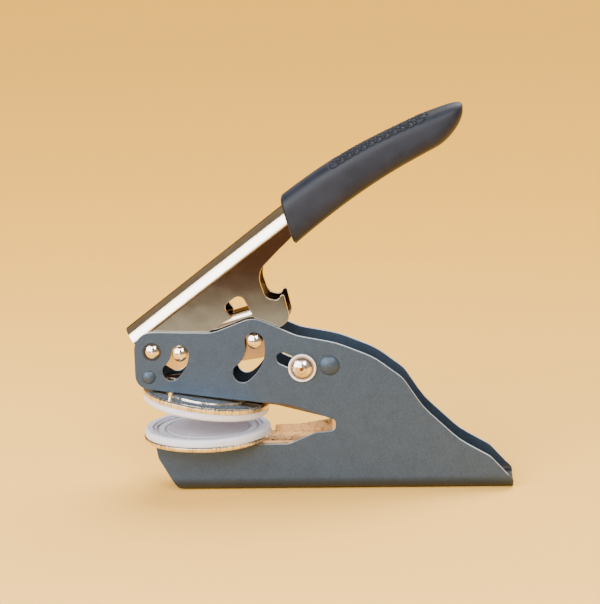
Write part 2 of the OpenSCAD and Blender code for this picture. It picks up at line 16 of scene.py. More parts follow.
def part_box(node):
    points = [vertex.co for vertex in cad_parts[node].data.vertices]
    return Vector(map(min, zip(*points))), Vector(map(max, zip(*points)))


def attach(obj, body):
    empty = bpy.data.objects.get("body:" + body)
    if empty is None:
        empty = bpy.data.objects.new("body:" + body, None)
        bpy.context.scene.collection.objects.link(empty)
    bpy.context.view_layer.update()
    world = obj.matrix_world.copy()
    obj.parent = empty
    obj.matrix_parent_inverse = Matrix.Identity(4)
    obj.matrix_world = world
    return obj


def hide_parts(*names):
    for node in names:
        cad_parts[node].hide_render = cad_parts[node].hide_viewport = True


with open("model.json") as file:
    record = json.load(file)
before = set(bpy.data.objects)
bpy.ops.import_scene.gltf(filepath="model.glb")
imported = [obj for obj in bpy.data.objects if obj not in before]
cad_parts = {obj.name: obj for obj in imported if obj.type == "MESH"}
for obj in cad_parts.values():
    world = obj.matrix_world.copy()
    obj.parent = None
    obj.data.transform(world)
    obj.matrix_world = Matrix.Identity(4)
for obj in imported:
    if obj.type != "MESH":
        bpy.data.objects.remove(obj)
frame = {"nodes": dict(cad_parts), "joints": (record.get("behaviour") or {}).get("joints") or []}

bl_info = {
    "name": "Seal embosser looks",
    "version": (1, 0, 0),
    "blender": (4, 5, 0),
    "location": "View3D > Sidebar > Embosser",
    "description": "Finishes, grip and studio of a hand-held seal embosser",
    "category": "Object",
}

MM = 0.001

# The photograph's frame and the camera that was fitted to the body and the two die holders.
PHOTO_W = 600
PHOTO_H = 604
FOCAL_PX = 1917.9
SENSOR_MM = 36
CAMERA_AT = Vector((83.99, -635.89, 188.60)) * MM
CAMERA_TARGET = Vector((33.149, 0, 63.842)) * MM
CAMERA_ROLL = math.radians(-1.846)

# Places worked out from the frame, with the angle of the lever at rest, the thicknesses of the
# sheets and the height of the body's bend as the part has them.
JOINTS = {joint["name"]: joint for joint in frame["joints"]}
PIVOT = Vector(JOINTS["lever_press"]["pos_m"])
CLIP_HINGE = Vector(JOINTS["clip_close"]["pos_m"])
LEVER_REST = math.radians(37)
CLIP_OPEN = -math.radians(JOINTS["clip_close"]["range_deg"][0])
BODY_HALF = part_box("frame_channel")[1].y
SHEET = 1.5 * MM
BODY_INSIDE = BODY_HALF - SHEET
BASE_BEND = 4.5 * MM
TAIL_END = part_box("frame_channel")[1].x
LEVER_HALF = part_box("lever_channel")[1].y
LEVER_SHEET = 1.2 * MM
LINK_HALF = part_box("cam_link")[1].y

# Places that the finishes need: the lock's knob and its dimple, the rims of dies and holders,
# and how far from the tail the painted glints on the enamel's cut edges reach.
LOCK_LOW, LOCK_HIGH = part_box("lock_pin")
LOCK_CENTRE = (LOCK_LOW + LOCK_HIGH) / 2
KNOB_RADIUS = (LOCK_HIGH.x - LOCK_LOW.x) / 2
DIMPLE = 0.7 * MM
HOLDER_RIM = (20.6 * MM, 21.4 * MM)
DIE_RIM = (16 * MM, 20 * MM)
GLINT_REACH = 9 * MM
RIM_STREAK_MM = 42  # grain of the streaks round a rim, on a circle of 1 m radius
DRAWN_STRETCH = (0.03, 0.0006, 0.0006)  # drawn lines are this long, wide and high per unit of noise

BODY_NODES = ("frame_channel", "front_spacer_rivet", "rear_spacer_rivet")
PIN_NODES = ("lever_pivot_pin", "drive_pin", "guide_pin")
TURNED_NODES = (
    "front_spacer_sleeve",
    "rear_spacer_sleeve",
    "clip_hinge_pin",
    "press_pin",
    "lower_holder_rivets",
    "upper_holder_rivets",
)
STAMPED_NODES = ("die_bed", "press_saddle")


# ---- Settings that a user would change ----


def colour(name, description, default):
    """A linear RGB colour setting."""
    return FloatVectorProperty(
        name=name, description=description, subtype="COLOR", size=3, min=0, max=1, default=default
    )


def share(name, description, default):
    """A setting between nothing and all."""
    return FloatProperty(
        name=name, description=description, subtype="FACTOR", min=0, max=1, default=default
    )


def amount(name, description, default, low=0, high=1000, unit="NONE"):
    """A number between two limits."""
    return FloatProperty(
        name=name, description=description, min=low, max=high, default=default, unit=unit
    )


def count(name, description, default, low, high):
    """A whole number between two limits."""
    return IntProperty(name=name, description=description, min=low, max=high, default=default)


class PaintLooks(bpy.types.PropertyGroup):
    """Blue-grey enamel of the folded body and its rivets."""

    tone: colour("Enamel", "Main colour of the enamel", (0.039, 0.068, 0.112))
    shadow: colour("Dark speck", "Colour of the darker specks", (0.024, 0.042, 0.070))
    # Painted shade: the inside colour darkens the facing sides of the plates, for the shade that
    # falls between them.
    inside: colour("Inside", "Thin dark coat between the plates", (0.0012, 0.0015, 0.002))
    # The cut edge colour is partly a thin coat on the cut edges and partly a painted highlight
    # along them.
    edge: colour("Cut edge", "Thinly coated cut edges of the sheet", (0.44, 0.52, 0.58))
    # Painted shade: the base bend colour darkens the bend where it turns down towards the floor.
    bend: colour("Base bend", "Darker coat round the bend of the base", (0.010, 0.014, 0.019))
    # Painted highlight: this near-white colour makes glints on spots of the cut edges near the
    # tail.
    tail_glint: colour("Bare steel", "Steel where the coat has chipped", (0.86, 0.85, 0.82))
    roughness: share("Roughness", "Roughness of the enamel", 0.46)


class MetalLooks(bpy.types.PropertyGroup):
    """Nickel plate and plain steel."""

    lever: colour("Lever nickel", "Plate on the lever and link", (0.59, 0.49, 0.35))
    bright: colour("Bright nickel", "Plate on pins, holders and arms", (0.84, 0.76, 0.66))
    # The sheared edge colour is partly the cut metal and partly a painted highlight along the
    # edges.
    edge: colour("Sheared edge", "Cut edges of the plated sheets", (0.90, 0.84, 0.72))
    link: colour("Link nickel", "Plate on the link", (0.50, 0.37, 0.27))
    arm: colour("Arm nickel", "Plate on the lower clip arm", (0.68, 0.44, 0.22))
    # Painted shade: the upper arm's dark, dull nickel stands in for the shade it lies in under the
    # body.
    shaded_upper_arm: colour("Upper arm nickel", "Dull plate on the upper clip arm", (0.13, 0.095, 0.07))
    # Tarnished brown that also serves as painted shade: at the rims of domed heads, in and round
    # the knob's dimple, and round the knob on its washers.
    tarnish_and_shade: colour("Tarnish", "Brown tarnish in the dimples of the knobs", (0.20, 0.10, 0.06))
    # Painted reflection: this colour streaks the holders' rims to stand in for streaky reflections
    # there.
    painted_rim_reflection: colour("Rim streaks", "Dull streaks round the holders' rims", (0.22, 0.16, 0.13))
    steel: colour("Steel", "Turned steel inside", (0.55, 0.54, 0.52))
    pressed: colour("Pressed steel", "Dark steel of the bed and the saddle", (0.16, 0.15, 0.14))
    wire: colour("Spring wire", "Oiled drawn wire", (0.24, 0.23, 0.22))
    roughness: share("Roughness", "Roughness of the nickel plate", 0.07)


class PlasticLooks(bpy.types.PropertyGroup):
    """Dies, bushes and washers."""

    die: colour("Die", "Milky plastic of the two dies", (0.66, 0.69, 0.84))
    # Painted shade: the die's middle, inside its rim, takes this deeper tone.
    die_recess_shade: colour("Die depth", "Colour in the recesses of the dies", (0.47, 0.49, 0.60))
    bush: colour("Bush", "Dark nylon", (0.012, 0.012, 0.014))
    washer: colour("Washer", "Natural nylon", (0.74, 0.71, 0.66))


class GripLooks(bpy.types.PropertyGroup):
    """Rubber grip and the chain of ovals along its upper flanks."""

    tone: colour("Rubber", "Colour of the rubber", (0.006, 0.009, 0.018))
    worn: colour("Handled rubber", "Colour where hands polish the rubber", (0.010, 0.014, 0.026))
    # Painted shade: this colour darkens the pressed ovals.
    groove: colour("Grooves", "Colour in the pressed ovals", (0.001, 0.001, 0.002))
    sheen: colour("Sheen", "Tint of the rubber's faint sheen", (0.6, 0.72, 1.0))
    rings: count("Rings", "Cross-sections along the grip", 270, 60, 400)
    sides: count("Sides", "Points round each section", 208, 48, 240)
    groove_depth: amount("Groove depth", "Depth of the pressed ovals, mm", 0.5, 0, 0.8)
    groove_width: amount("Groove width", "Width of the pressed ovals' line, mm", 0.64, 0.2, 1.2)


class StudioLooks(bpy.types.PropertyGroup):
    """Floor, lamps and surroundings."""

    floor: colour("Floor", "Pale floor near the embosser", (0.96, 0.565, 0.155))
    floor_far: colour("Far floor", "Pale floor further back", (0.96, 0.51, 0.06))
    sky: colour("Surroundings", "Soft light from all round", (1.0, 0.86, 0.68))
    sky_strength: amount("Surroundings", "Strength of that light", 0.4)
    window_power: amount("Window", "Power of the large soft lamp, front left", 40, unit="POWER")
    fill_power: amount("Side fill", "Power of the small soft lamp, front right", 13, unit="POWER")
    skylight: amount("Skylight", "Strength of the broad light from above and behind", 5.4)


SETTINGS = {
    "paint": PaintLooks,
    "metal": MetalLooks,
    "plastic": PlasticLooks,
    "grip": GripLooks,
    "studio": StudioLooks,
}


class EmbosserSettings(bpy.types.PropertyGroup):
    """All settings of the embosser's looks."""

    __annotations__ = {name: PointerProperty(type=group) for name, group in SETTINGS.items()}


def settings():
    """The settings in force."""
    return bpy.context.scene.embosser


# ---- Shader maths ----


class Field:
    """An output socket that takes part in Python expressions."""

    def __init__(self, finish, socket):
        self.finish = finish
        self.socket = socket

    def maths(self, operation, *others):
        inputs = enumerate([self, *others])
        return self.finish.node("ShaderNodeMath", {"operation": operation}, inputs)

    def __add__(self, other):
        return self.maths("ADD", other)

    def __rsub__(self, other):
        return (self * -1) + other

    def __mul__(self, other):
        return self.maths("MULTIPLY", other)

    def __pow__(self, other):
        return self.maths("POWER", other)

    def __abs__(self):
        return self.maths("ABSOLUTE")


class Finish:
    """One material: a Principled shader and the nodes that feed it."""

    def __init__(self, name, **fixed):
        self.material = bpy.data.materials.new(name)
        self.material.use_nodes = True
        self.tree = self.material.node_tree
        self.shader = next(n for n in self.tree.nodes if n.type == "BSDF_PRINCIPLED")
        self.coords = self.node("ShaderNodeTexCoord", output="Object")
        for socket, value in fixed.items():
            self.feed(socket.replace("_", " ").title(), value)

    def feed(self, socket, value):
        """Gives one input of the Principled shader a value or a link."""
        self.connect(self.shader.inputs[socket], value)

    def connect(self, socket, value):
        """Links a field to a socket, or sets the socket to a plain value."""
        if isinstance(value, Field):
            self.tree.links.new(value.socket, socket)
        elif socket.type == "RGBA":
            socket.default_value = (*value, 1)
        else:
            socket.default_value = value

    def node(self, kind, settings=None, inputs=(), output=0):
        """Adds a node: its settings are set first, then the values or links of its sockets."""
        made = self.tree.nodes.new(kind)
        for name, value in (settings or {}).items():
            setattr(made, name, value)
        for key, value in dict(inputs).items():
            self.connect(made.inputs[key], value)
        return Field(self, made.outputs[output])

    def axes(self, vector=None):
        """The three coordinates of a point, in metres."""
        vector = vector or self.coords
        return [self.node("ShaderNodeSeparateXYZ", inputs={0: vector}, output=i) for i in range(3)]

    def placed(self, location=(0, 0, 0), rotation=(0, 0, 0), scale=(1, 1, 1)):
        """Object coordinates moved, turned and stretched."""
        values = {"Vector": self.coords, "Location": location, "Rotation": rotation, "Scale": scale}
        return self.node("ShaderNodeMapping", {"vector_type": "TEXTURE"}, values)

    def noise(self, grain_mm, detail=2.0, roughness=0.5, vector=None):
        """Cloudy noise from 0 to 1 whose patches are about grain_mm across."""
        values = {
            "Vector": vector or self.coords,
            "Scale": 1 / (grain_mm * MM),
            "Detail": detail,
            "Roughness": roughness,
        }
        return self.node("ShaderNodeTexNoise", inputs=values)

    def lathe_rings(self, radius, grain_mm):
        """Noise that changes only with the distance from an axis."""
        line = self.node("ShaderNodeCombineXYZ", inputs={0: radius})
        return self.noise(grain_mm, detail=2, vector=line)

    def ramp(self, value, low, high, out_low=0.0, out_high=1.0):
        """Carries value smoothly from low..high to out_low..out_high."""
        values = {0: value, 1: low, 2: high, 3: out_low, 4: out_high}
        return self.node("ShaderNodeMapRange", {"interpolation_type": "SMOOTHSTEP"}, values)

    def band(self, value, low, high, soft):
        """1 between low and high, and 0 outside, with soft ends."""
        return self.ramp(value, low - soft, low) * self.ramp(value, high, high + soft, 1.0, 0.0)

    def mix(self, first, second, factor):
        """Blends two colours."""
        inputs = {"Factor": factor, 6: first, 7: second}
        return self.node("ShaderNodeMix", {"data_type": "RGBA"}, inputs, output=2)

    def bump(self, height, depth_mm, normal=None):
        """Normal of a surface whose height field is depth_mm deep."""
        inputs = {"Height": height, "Distance": depth_mm * MM, "Strength": 1.0}
        if normal is not None:
            inputs["Normal"] = normal
        return self.node("ShaderNodeBump", inputs=inputs)

    def soft_edges(self, radius_mm):
        """Normal that rounds the sharp edges of a CAD piece."""
        return self.node("ShaderNodeBevel", {"samples": 6}, {"Radius": radius_mm * MM})


def darker(tone, keep):
    """A colour at a share of its brightness."""
    return tuple(c * keep for c in tone)


# ---- Finishes ----


def enamel_finish():
    """Fine metallic powder coat: specks, orange peel, pale cut edges that are partly a painted
    highlight, painted glints near the tail, and painted shade inside and round the base bend.
    """
    looks = settings().paint
    paint = Finish("blue_grey_enamel", metallic=0.45, coat_weight=0.12)
    paint.feed("Coat Roughness", 0.32)
    x, y, z = paint.axes()
    across = abs(y)
    speck = paint.noise(0.36, detail=3, roughness=0.6)
    cloud = paint.noise(3.5, detail=4)
    speckled = paint.ramp(speck * 0.8 + cloud * 0.2, 0.33, 0.66)
    tone = paint.mix(looks.shadow, looks.tone, speckled)
    # Painted shade: the tone darkens from just above the base bend down to the floor.
    tone = paint.mix(tone, looks.bend, paint.ramp(z, 0.4 * MM, BASE_BEND + 1 * MM, 0.85, 0.0))
    # Painted shade: the inner faces of the plates take the near-black inside colour.
    inside = paint.ramp(across, BODY_INSIDE - 0.1 * MM, BODY_INSIDE + 0.04 * MM, 1.0, 0.0)
    above_bend = paint.ramp(z, BASE_BEND, BASE_BEND + 0.6 * MM)
    # Pale cut edges: partly a thin coat there, partly a painted highlight.
    cut = paint.band(across, BODY_INSIDE + 0.12 * MM, BODY_HALF - 0.06 * MM, 0.05 * MM)
    sheared = cut * above_bend
    # Painted highlight: near-white glints on spots of the cut edges towards the tail.
    near_tail = paint.ramp(x, TAIL_END - GLINT_REACH, TAIL_END)
    glint_spots = paint.ramp(paint.noise(0.9, detail=2), 0.56, 0.62) * near_tail
    tone = paint.mix(tone, looks.inside, inside)
    tone = paint.mix(tone, looks.edge, sheared * 0.85)
    paint.feed("Base Color", paint.mix(tone, looks.tail_glint, sheared * glint_spots))
    smooth, rough = looks.roughness - 0.06, looks.roughness + 0.08
    paint.feed("Roughness", paint.ramp(speck, 0.3, 0.7, smooth, rough))
    peel = paint.noise(0.28, detail=1)
    paint.feed("Normal", paint.bump(peel + speck * 0.4, 0.018, paint.soft_edges(0.3)))
    return paint.material


def sheet_nickel_finish(name, tone, half_width, sheet, tilt, roughness):
    """Plated sheet with faint drawing lines along it, and brighter sheared edges that are partly a
    painted highlight.
    """
    looks = settings().metal
    metal = Finish(name, metallic=1.0)
    across = abs(metal.axes()[1])
    drawn = metal.placed(rotation=(0, tilt, 0), scale=DRAWN_STRETCH)
    lines = metal.noise(1, detail=3, vector=drawn)
    sway = metal.noise(9, detail=1)
    stain = metal.noise(5, detail=4, roughness=0.6)
    # Brighter sheared edges: partly the cut metal, partly a painted highlight.
    sheared = metal.band(across, half_width - sheet + 0.1 * MM, half_width - 0.1 * MM, 0.06 * MM)
    plate = metal.mix(darker(tone, 0.82), tone, metal.ramp(stain, 0.3, 0.75))
    metal.feed("Base Color", metal.mix(plate, looks.edge, sheared))
    grain = metal.ramp(stain * 0.3 + lines * 0.7, 0.3, 0.7, roughness * 0.85, roughness * 1.25)
    metal.feed("Roughness", grain + sheared * 0.2)
    normal = metal.bump(sway, 0.05, metal.soft_edges(0.22))
    metal.feed("Normal", metal.bump(lines, 0.003, normal))
    return metal.material


def bright_nickel_finish(name, tone, roughness, waviness):
    """Plate on a turned or pressed piece, with light handling marks."""
    metal = Finish(name, metallic=1.0)
    marks = metal.noise(2.2, detail=5, roughness=0.65)
    fine = metal.noise(0.35, detail=2)
    metal.feed("Base Color", metal.mix(darker(tone, 0.88), tone, metal.ramp(marks, 0.35, 0.6)))
    rubbed = marks * 0.7 + fine * 0.3
    metal.feed("Roughness", metal.ramp(rubbed, 0.35, 0.65, roughness * 0.7, roughness * 1.7))
    metal.feed("Normal", metal.bump(metal.noise(4, detail=1), waviness, metal.soft_edges(0.18)))
    return metal.material


def spun_nickel_finish(name, centre, tilt, roughness):
    """Bright plate on a round pan, with fine lathe rings about its axis and painted reflection
    streaks round its rim.
    """
    looks = settings().metal
    metal = Finish(name, metallic=1.0)
    flat = metal.placed(location=centre, rotation=(0, tilt, 0))
    x, y, _ = metal.axes(flat)
    radius = (x * x + y * y) ** 0.5
    rings = metal.lathe_rings(radius, 0.16)
    marks = metal.noise(2.5, detail=4, roughness=0.6)
    outward = metal.node("ShaderNodeCombineXYZ", inputs={0: x, 1: y})
    outward = metal.node("ShaderNodeVectorMath", {"operation": "NORMALIZE"}, {0: outward})
    rim = metal.ramp(radius, *HOLDER_RIM)
    streaks = metal.noise(RIM_STREAK_MM, detail=4, roughness=0.65, vector=outward)
    plate = metal.mix(darker(looks.bright, 0.86), looks.bright, metal.ramp(marks, 0.35, 0.62))
    # Painted reflection: streaks of dull colour round the rim. The same streaks also bump it.
    painted_reflection_share = metal.ramp(streaks, 0.5, 0.62) * rim * 0.6
    metal.feed("Base Color", metal.mix(plate, looks.painted_rim_reflection, painted_reflection_share))
    turned = rings * 0.5 + marks * 0.5
    metal.feed("Roughness", metal.ramp(turned, 0.3, 0.7, roughness * 0.7, roughness * 1.6))
    normal = metal.bump(rings, 0.004, metal.soft_edges(0.2))
    metal.feed("Normal", metal.bump(streaks * rim, 0.2, normal))
    return metal.material


def turned_nickel_finish(name, node, roughness, dimple=0.0):
    """Bright plate on a turned head, browner towards its rim as painted shade, and in and round a
    dimple as tarnished plate and painted shade.
    """
    looks = settings().metal
    metal = Finish(name, metallic=1.0)
    low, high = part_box(node)
    head = (high.x - low.x) / 2
    x, _, z = metal.axes(metal.placed(location=(low + high) / 2))
    radius = (x * x + z * z) ** 0.5
    turned = metal.lathe_rings(radius, 0.22)
    # Painted shade: the head browns towards its rim. In and round a dimple the brown is partly
    # tarnished plate and partly painted shade.
    brown = metal.ramp(radius, head - 0.9 * MM, head, 0.0, 0.75)
    if dimple:
        hollow = metal.ramp(radius, dimple * 0.7, dimple * 1.4, 1.0, 0.0)
        ring = metal.band(radius, dimple * 2.1, dimple * 2.4, 0.3 * MM)
        brown = brown + hollow + ring * 0.45
    metal.feed("Base Color", metal.mix(looks.bright, looks.tarnish_and_shade, brown))
    metal.feed("Roughness", metal.ramp(turned, 0.3, 0.7, roughness * 0.7, roughness * 1.5))
    metal.feed("Normal", metal.bump(turned, 0.012, metal.soft_edges(0.18)))
    return metal.material


def steel_finish(name, tone, roughness, stretch):
    """Plain steel with cutter marks; stretch draws them out along X, Y and Z."""
    metal = Finish(name, metallic=1.0)
    cuts = metal.noise(0.5, detail=3, vector=metal.placed(scale=stretch))
    oil = metal.noise(3, detail=3)
    oiled = metal.ramp(oil * 0.5 + cuts * 0.5, 0.35, 0.62)
    metal.feed("Base Color", metal.mix(darker(tone, 0.7), tone, oiled))
    metal.feed("Roughness", metal.ramp(cuts, 0.3, 0.7, roughness * 0.8, roughness * 1.35))
    metal.feed("Normal", metal.bump(cuts, 0.01, metal.soft_edges(0.15)))
    return metal.material


def milky_finish(name, centre, tilt):
    """Milky moulded plastic that light enters a little, darker inside its rim as painted shade of
    its recesses, with a cloud of deeper tone.
    """
    looks = settings().plastic
    plastic = Finish(name, roughness=0.34)
    plastic.feed("Subsurface Weight", 0.55)
    plastic.feed("Subsurface Radius", (1.0, 1.1, 1.35))
    plastic.feed("Subsurface Scale", 1.6 * MM)
    plastic.feed("IOR", 1.5)
    flat = plastic.placed(location=centre, rotation=(0, tilt, 0))
    x, y, _ = plastic.axes(flat)
    radius = (x * x + y * y) ** 0.5
    cloud = plastic.noise(6, detail=3)
    rim = plastic.ramp(radius, *DIE_RIM)
    # Painted shade over the middle inside the rim, plus a random cloud of deeper tone.
    depth = plastic.ramp(cloud, 0.3, 0.7) * 0.25 + (1 - rim) * 0.55
    plastic.feed("Base Color", plastic.mix(looks.die, looks.die_recess_shade, depth))
    plastic.feed("Roughness", plastic.ramp(plastic.noise(1.4, detail=4), 0.3, 0.7, 0.27, 0.42))
    grain = plastic.noise(0.5, detail=2)
    plastic.feed("Normal", plastic.bump(grain, 0.006, plastic.soft_edges(0.3)))
    return plastic.material


def nylon_finish(name, tone, roughness, under_knob=False):
    """Moulded nylon; a washer of the lock also has a painted shadow of the knob: a brown ring round
    it.
    """
    plastic = Finish(name)
    cloud = plastic.noise(1.6, detail=3)
    skin = plastic.mix(darker(tone, 0.8), tone, plastic.ramp(cloud, 0.35, 0.65))
    if under_knob:
        x, _, z = plastic.axes(plastic.placed(location=LOCK_CENTRE))
        radius = (x * x + z * z) ** 0.5
        # Painted shadow: a brown ring on the washer just round the knob.
        knob_shadow = plastic.ramp(radius, KNOB_RADIUS + 0.4 * MM, KNOB_RADIUS + 0.6 * MM, 0.85, 0.0)
        skin = plastic.mix(skin, settings().metal.tarnish_and_shade, knob_shadow)
    plastic.feed("Base Color", skin)
    plastic.feed("Roughness", plastic.ramp(cloud, 0.3, 0.7, roughness * 0.85, roughness * 1.2))
    plastic.feed("Normal", plastic.bump(plastic.noise(0.3), 0.008, plastic.soft_edges(0.15)))
    return plastic.material


def rubber_finish():
    """Soft matte rubber with a fine moulded grain."""
    looks = settings().grip
    rubber = Finish("charcoal_rubber")
    rubber.feed("Specular IOR Level", 0.3)
    rubber.feed("Sheen Weight", 0.04)
    rubber.feed("Sheen Roughness", 0.4)
    rubber.feed("Sheen Tint", looks.sheen)
    cloud = rubber.noise(7, detail=4)
    grain = rubber.noise(0.22, detail=2)
    pressed = rubber.node("ShaderNodeAttribute", {"attribute_name": "pressed"}, output="Fac")
    skin = rubber.mix(looks.tone, looks.worn, rubber.ramp(cloud, 0.3, 0.7))
    # Painted shade in the pressed ovals.
    rubber.feed("Base Color", rubber.mix(skin, looks.groove, pressed * 0.8))
    handled = rubber.ramp(cloud * 0.6 + grain * 0.4, 0.3, 0.7, 0.44, 0.58)
    rubber.feed("Roughness", handled + pressed * 0.4)
    rubber.feed("Normal", rubber.bump(grain, 0.02))
    return rubber.material


def dress(material, *nodes):
    """Gives CAD nodes a finish."""
    for name in nodes:
        slots = frame["nodes"][name].data.materials
        slots.clear()
        slots.append(material)


# ---- Rubber grip ----

# Top and bottom lines of the grip in the lever's own plane, in mm: u along the lever from its
# pivot and v square to it. Each is one cubic curve.
GRIP_TOP = ((66.4, 14), (104, 13.6), (111.2, 6.3), (135.94, 4.57))
GRIP_BOTTOM = ((60.5, -1.6), (106, 0.6), (118, -7.4), (128.5, -5.8))

# Sections are squared ovals, and rounder from TIP_FROM of the length on. They are a little
# wider in the middle of the grip, and shrink to the rounded end from GRIP_ROUND_FROM on.
GRIP_SQUARENESS = 3.7
TIP_SQUARENESS = 2.3
TIP_FROM = 0.6
GRIP_HALF_W = (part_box("rubber_grip")[1].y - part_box("rubber_grip")[0].y) / 2 / MM
GRIP_SWELL = 0.06
SWELL_PACE = 1.2
GRIP_ROUND_FROM = 0.72
ROUND_POWERS = (1.3, 0.35)
ROUND_WIDTH_POWER = 0.7
LEAST_TAPER = 0.004
RING_CROWDING = 1.35

# The lip at the open end rolls in by a share of the section, over steps of a turn in radians.
LIP_RADIUS = 0.9
LIP_SHARE = 0.16
LIP_TURNS = (0.0, 0.5, 1.0)

# The chain: rows of overlapping ovals over the top, from the first to the last oval along u.
CHAIN_FIRST = 88.2
CHAIN_LAST = 119.9
CHAIN_PITCH = 2.76
OVAL_HALF_LENGTH = 1.95
OVAL_HALF_WIDTH = 1.35
ROW_PITCH = 1.8
ROWS_EACH_SIDE = 4
CHAIN_SLACK = 0.1


def cubic(points, t):
    """Point of a cubic curve."""
    weights = ((1 - t) ** 3, 3 * t * (1 - t) ** 2, 3 * t * t * (1 - t), t**3)
    return Vector([sum(w * p[axis] for w, p in zip(weights, points)) for axis in (0, 1)])


def grip_share(i, rings):
    """Place of ring i along the grip, with the rings closer together towards the tip."""
    return 1 - (1 - i / rings) ** RING_CROWDING


def grip_taper(t):
    """Share of its full size that a section has, rounding the tip off."""
    if t < GRIP_ROUND_FROM:
        return 1
    past = (t - GRIP_ROUND_FROM) / (1 - GRIP_ROUND_FROM)
    return max(LEAST_TAPER, 1 - past ** ROUND_POWERS[0]) ** ROUND_POWERS[1]


def section_point(t, angle, scale=1.0):
    """Point of the grip's skin in the lever's plane, as (u, across, v)."""
    top = cubic(GRIP_TOP, t)
    low = cubic(GRIP_BOTTOM, t)
    middle = (top + low) / 2
    taper = grip_taper(t)
    half = (top - low) / 2 * taper * scale
    swell = 1 - GRIP_SWELL + GRIP_SWELL * math.sin(math.pi * min(1, t * SWELL_PACE))
    wide = GRIP_HALF_W * swell * taper**ROUND_WIDTH_POWER * scale
    c = math.cos(angle)
    s = math.sin(angle)
    blend = max(0, t - TIP_FROM) / (1 - TIP_FROM)
    square = GRIP_SQUARENESS + (TIP_SQUARENESS - GRIP_SQUARENESS) * blend
    reach = (abs(c) ** square + abs(s) ** square) ** (-1 / square)
    return Vector((middle.x + half.x * s * reach, wide * c * reach, middle.y + half.y * s * reach))


def oval_groove(u, arc, width):
    """Depth share of the chain's pressed lines; arc runs over the top from its middle."""
    nearest = width
    row = round(arc / ROW_PITCH)
    for r in (row - 1, row, row + 1):
        if abs(r) > ROWS_EACH_SIDE:
            continue
        shift = CHAIN_PITCH / 2 * (r % 2)
        k = round((u - CHAIN_FIRST - shift) / CHAIN_PITCH)
        for n in (k - 1, k, k + 1):
            centre = CHAIN_FIRST + shift + n * CHAIN_PITCH
            if not CHAIN_FIRST - CHAIN_SLACK <= centre <= CHAIN_LAST + CHAIN_SLACK:
                continue
            across = (arc - r * ROW_PITCH) / OVAL_HALF_WIDTH
            away = math.hypot((u - centre) / OVAL_HALF_LENGTH, across)
            nearest = min(nearest, abs(away - 1) * OVAL_HALF_WIDTH)
    share_in = max(0.0, 1 - nearest / (width / 2))
    return share_in * share_in * (3 - 2 * share_in)


def ring_points(t, looks, scale, push):
    """Skin points of one section, pressed in along the chain, and how far each is pressed in,
    from 0 to 1. Point 0 lies on the side towards +Y."""
    sides = looks.sides
    points = [section_point(t, 2 * math.pi * j / sides, scale) for j in range(sides)]
    top = sides // 4
    arc = [0.0] * sides
    for step in (1, -1):
        length = 0.0
        j = top
        for _ in range(sides // 2):
            following = (j + step) % sides
            length += (points[following] - points[j]).length
            arc[following] = -step * length
            j = following
    middle = (cubic(GRIP_TOP, t) + cubic(GRIP_BOTTOM, t)) / 2
    centre = Vector((middle.x, 0, middle.y))
    pressed = [oval_groove(point.x, arc[j], looks.groove_width) for j, point in enumerate(points)]
    for point, depth in zip(points, pressed):
        point -= (point - centre).normalized() * depth * looks.groove_depth
        point.x += push
    return zip(points, pressed)


def ring_places(rings):
    """Place along the grip, scale and push of every ring, from the lip to the tip."""
    lip = [
        (0, 1 - LIP_SHARE * (1 - math.sin(a)), LIP_RADIUS * (1 - math.cos(a))) for a in LIP_TURNS
    ]
    skin = [(grip_share(i, rings), 1.0, 0.0) for i in range(1, rings + 1)]
    return [*lip, (0, 1.0, LIP_RADIUS), *skin]


def grip_mesh(looks):
    """Lofts the grip by extruding a circle ring by ring; each ring takes its section's place."""
    mesh = bmesh.new()
    pressed = mesh.verts.layers.float.new("pressed")
    bmesh.ops.create_circle(mesh, segments=looks.sides, radius=1)
    mesh.verts.ensure_lookup_table()
    ring = sorted(mesh.verts, key=lambda v: math.atan2(v.co.y, v.co.x) % (2 * math.pi))
    front = ring
    for number, (t, scale, push) in enumerate(ring_places(looks.rings)):
        if number:
            ring = extrude_ring(mesh, ring)
        for vert, (point, depth) in zip(ring, ring_points(t, looks, scale, push)):
            vert.co = point
            vert[pressed] = depth
    close_ring(mesh, front)
    close_ring(mesh, ring)
    bmesh.ops.recalc_face_normals(mesh, faces=mesh.faces)
    return mesh


def ring_edges(mesh, ring):
    """Edges of a closed ring of vertices."""
    return [mesh.edges.get((a, b)) for a, b in zip(ring, ring[1:] + ring[:1])]


def extrude_ring(mesh, ring):
    """Extrudes the open ring's edges and returns the new ring in the same order."""
    made = bmesh.ops.extrude_edge_only(mesh, edges=ring_edges(mesh, ring))["geom"]
    fresh = {v for v in made if isinstance(v, bmesh.types.BMVert)}
    return [next(e.other_vert(v) for e in v.link_edges if e.other_vert(v) in fresh) for v in ring]


def close_ring(mesh, ring):
    """Fills an open ring."""
    bmesh.ops.edgeloop_fill(mesh, edges=ring_edges(mesh, ring))


def new_piece(name, mesh, material):
    """Turns a bmesh into an object at the origin with one finish."""
    data = bpy.data.meshes.new(name)
    mesh.to_mesh(data)
    mesh.free()
    data.shade_smooth()
    data.materials.append(material)
    piece = bpy.data.objects.new(name, data)
    bpy.context.scene.collection.objects.link(piece)
    return piece


# ---- Operators ----


